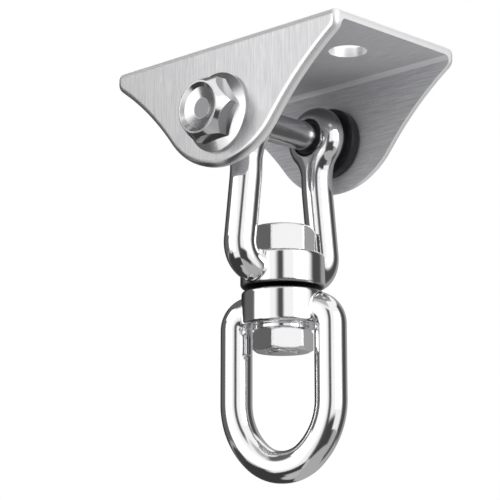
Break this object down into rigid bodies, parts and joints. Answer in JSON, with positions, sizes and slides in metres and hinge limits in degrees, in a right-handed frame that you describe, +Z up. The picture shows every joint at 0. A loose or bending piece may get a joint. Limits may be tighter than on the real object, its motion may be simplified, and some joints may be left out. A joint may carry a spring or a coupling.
{
  "type": "swing hanger",
  "caption": "Ceiling hanger with a folded bracket, a forged jaw that swings on a bushed bolt, and a long load eye that turns on a swivel pin.",
  "frame": {"origin": "centre of the bracket's face that lies against the ceiling", "axes": "+Z up out of the ceiling face, +X along the bracket's length, +Y along the pivot bolt away from its head"},
  "size_m": [0.08, 0.0673, 0.1125],
  "materials": {
    "brushed_steel": "brushed stainless steel",
    "fastener_steel": "smooth bright stainless steel",
    "polished_steel": "mirror polished stainless steel",
    "black_nylon": "satin black nylon",
    "pale_nylon": "pale nylon"
  },
  "bodies": {
    "hanger": {"bracket": "brushed_steel", "pivot_bolt": "fastener_steel", "lock_nut": "fastener_steel", "nylon_ring": "pale_nylon"},
    "swinging_jaw": {"jaw": "polished_steel", "near_bush": "black_nylon", "far_bush": "black_nylon"},
    "swivel": {"swivel_pin": "polished_steel", "swivel_nut": "polished_steel"},
    "eye": {"load_eye": "polished_steel"}
  },
  "joints": [
    {"name": "jaw_swing", "type": "hinge", "parent": "hanger", "child": "swinging_jaw", "pos_m": [0, 0, -0.0191], "axis": [0, 1, 0], "range_deg": [-90, 90]},
    {"name": "pin_turn", "type": "hinge", "parent": "swinging_jaw", "child": "swivel", "pos_m": [0, 0, -0.0531], "axis": [0, 0, 1], "continuous": true},
    {"name": "eye_turn", "type": "hinge", "parent": "swivel", "child": "eye", "pos_m": [0, 0, -0.0628], "axis": [0, 0, 1], "continuous": true}
  ]
}
